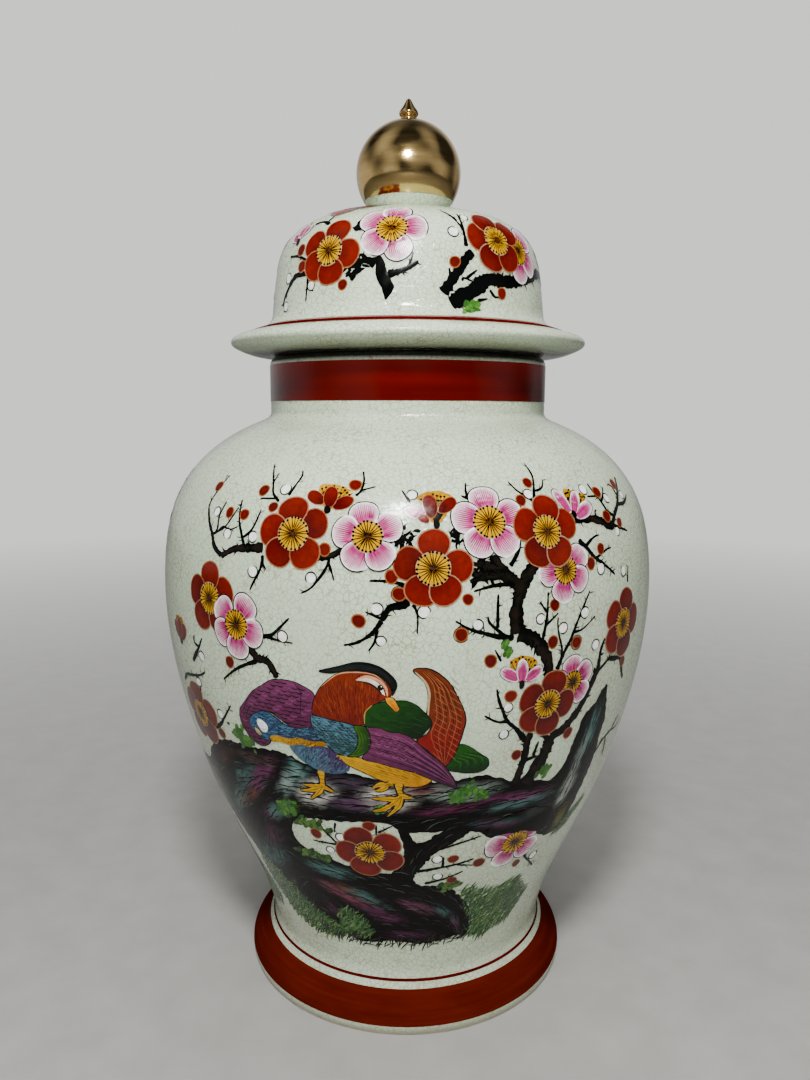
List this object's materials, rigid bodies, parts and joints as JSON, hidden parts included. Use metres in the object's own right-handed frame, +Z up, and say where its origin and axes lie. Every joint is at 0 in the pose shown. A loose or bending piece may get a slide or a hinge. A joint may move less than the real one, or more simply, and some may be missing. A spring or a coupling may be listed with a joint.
{
  "type": "ginger jar",
  "caption": "Lidded porcelain ginger jar with a full belly on a flared foot, a lift-off domed lid and a gilded ball knob, painted with flowering branches and birds.",
  "frame": {"origin": "centre of the foot's underside, on the surface that the jar stands on", "axes": "+Z up along the axis of revolution; -Y is the painted front with the birds; +X is to the right of a viewer who faces that front"},
  "size_m": [0.223, 0.223, 0.3977],
  "materials": {
    "glazed_porcelain": "gloss, warm greenish white with a fine tan crackle",
    "red_enamel": "gloss iron-red overglaze enamel",
    "painted_enamel": "gloss overglaze enamels in many colours",
    "gold_lustre": "bright fired gold"
  },
  "bodies": {
    "jar": {"jar_body": "glazed_porcelain", "foot_band": "red_enamel", "foot_line": "red_enamel", "neck_band": "red_enamel"},
    "lid": {"lid": "glazed_porcelain", "brim_line": "red_enamel", "knob": "glazed_porcelain", "knob_gilding": "gold_lustre"}
  },
  "joints": [
    {"name": "lid_lift", "type": "slide", "parent": "jar", "child": "lid", "axis": [0, 0, 1], "range_m": [0, 0.15]}
  ]
}
